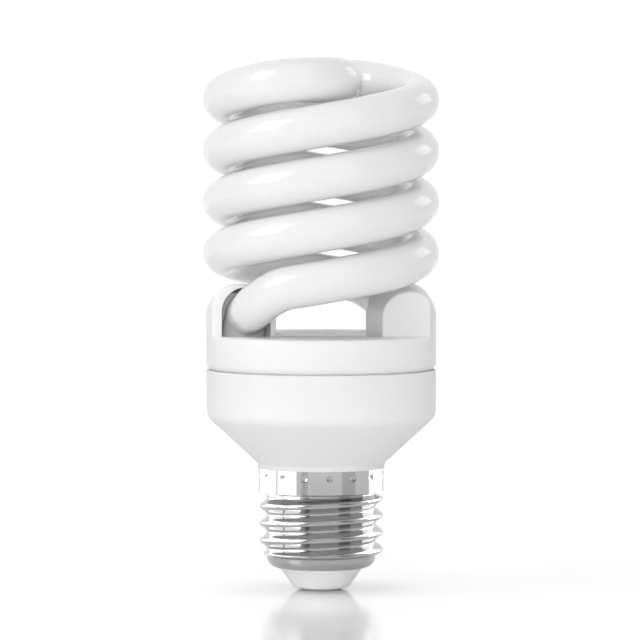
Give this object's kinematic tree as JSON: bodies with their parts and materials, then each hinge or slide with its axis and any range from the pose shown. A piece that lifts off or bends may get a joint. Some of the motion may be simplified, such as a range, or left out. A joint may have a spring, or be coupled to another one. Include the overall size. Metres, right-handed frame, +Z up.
{
  "type": "spiral energy saving bulb",
  "caption": "Compact fluorescent lamp with a white glass tube wound as a double spiral, a plastic ballast housing and a screw cap with a centre contact.",
  "frame": {"origin": "middle of the flat underside of the centre contact", "axes": "+Z up along the lamp's axis to the top of the spiral, -Y towards the viewer of the picture"},
  "size_m": [0.05, 0.05, 0.1127],
  "materials": {
    "white_glass": "glossy, coated white inside",
    "housing_plastic": "fine satin",
    "cap_metal": "bright nickel plate",
    "insulator_white": "smooth",
    "contact_metal": "tinned",
    "cement": "rough",
    "board": "brown paper laminate",
    "ferrite": "dull",
    "bobbin_plastic": "moulded",
    "copper_wire": "enamelled",
    "can_sleeve": "shrunk sleeve",
    "dipped_film": "dipped",
    "moulded_epoxy": "moulded",
    "diac_glass": "smooth",
    "resistor_lacquer": "lacquered",
    "sleeving": "woven sleeve",
    "tinned_wire": "tinned",
    "wire_insulation": "smooth"
  },
  "bodies": {
    "root": {"discharge_tube": "white_glass", "tube_holder_cover": "housing_plastic", "ballast_housing": "housing_plastic", "screw_shell": "cap_metal", "cap_insulator": "insulator_white", "centre_contact": "contact_metal", "tube_cement": "cement", "circuit_board": "board", "choke_core": "ferrite", "choke_bobbin": "bobbin_plastic", "choke_winding": "copper_wire", "bulk_capacitor": "can_sleeve", "resonance_capacitor": "dipped_film", "coupling_capacitor": "dipped_film", "filter_capacitor": "dipped_film", "switch_transistors": "moulded_epoxy", "drive_toroid": "ferrite", "toroid_windings": "copper_wire", "rectifier_diodes": "moulded_epoxy", "trigger_diac": "diac_glass", "resistors": "resistor_lacquer", "input_choke": "ferrite", "fuse_resistor": "sleeving", "wrap_pins": "tinned_wire", "cathode_leads": "tinned_wire", "live_lead": "wire_insulation", "neutral_lead": "wire_insulation"}
  },
  "joints": []
}
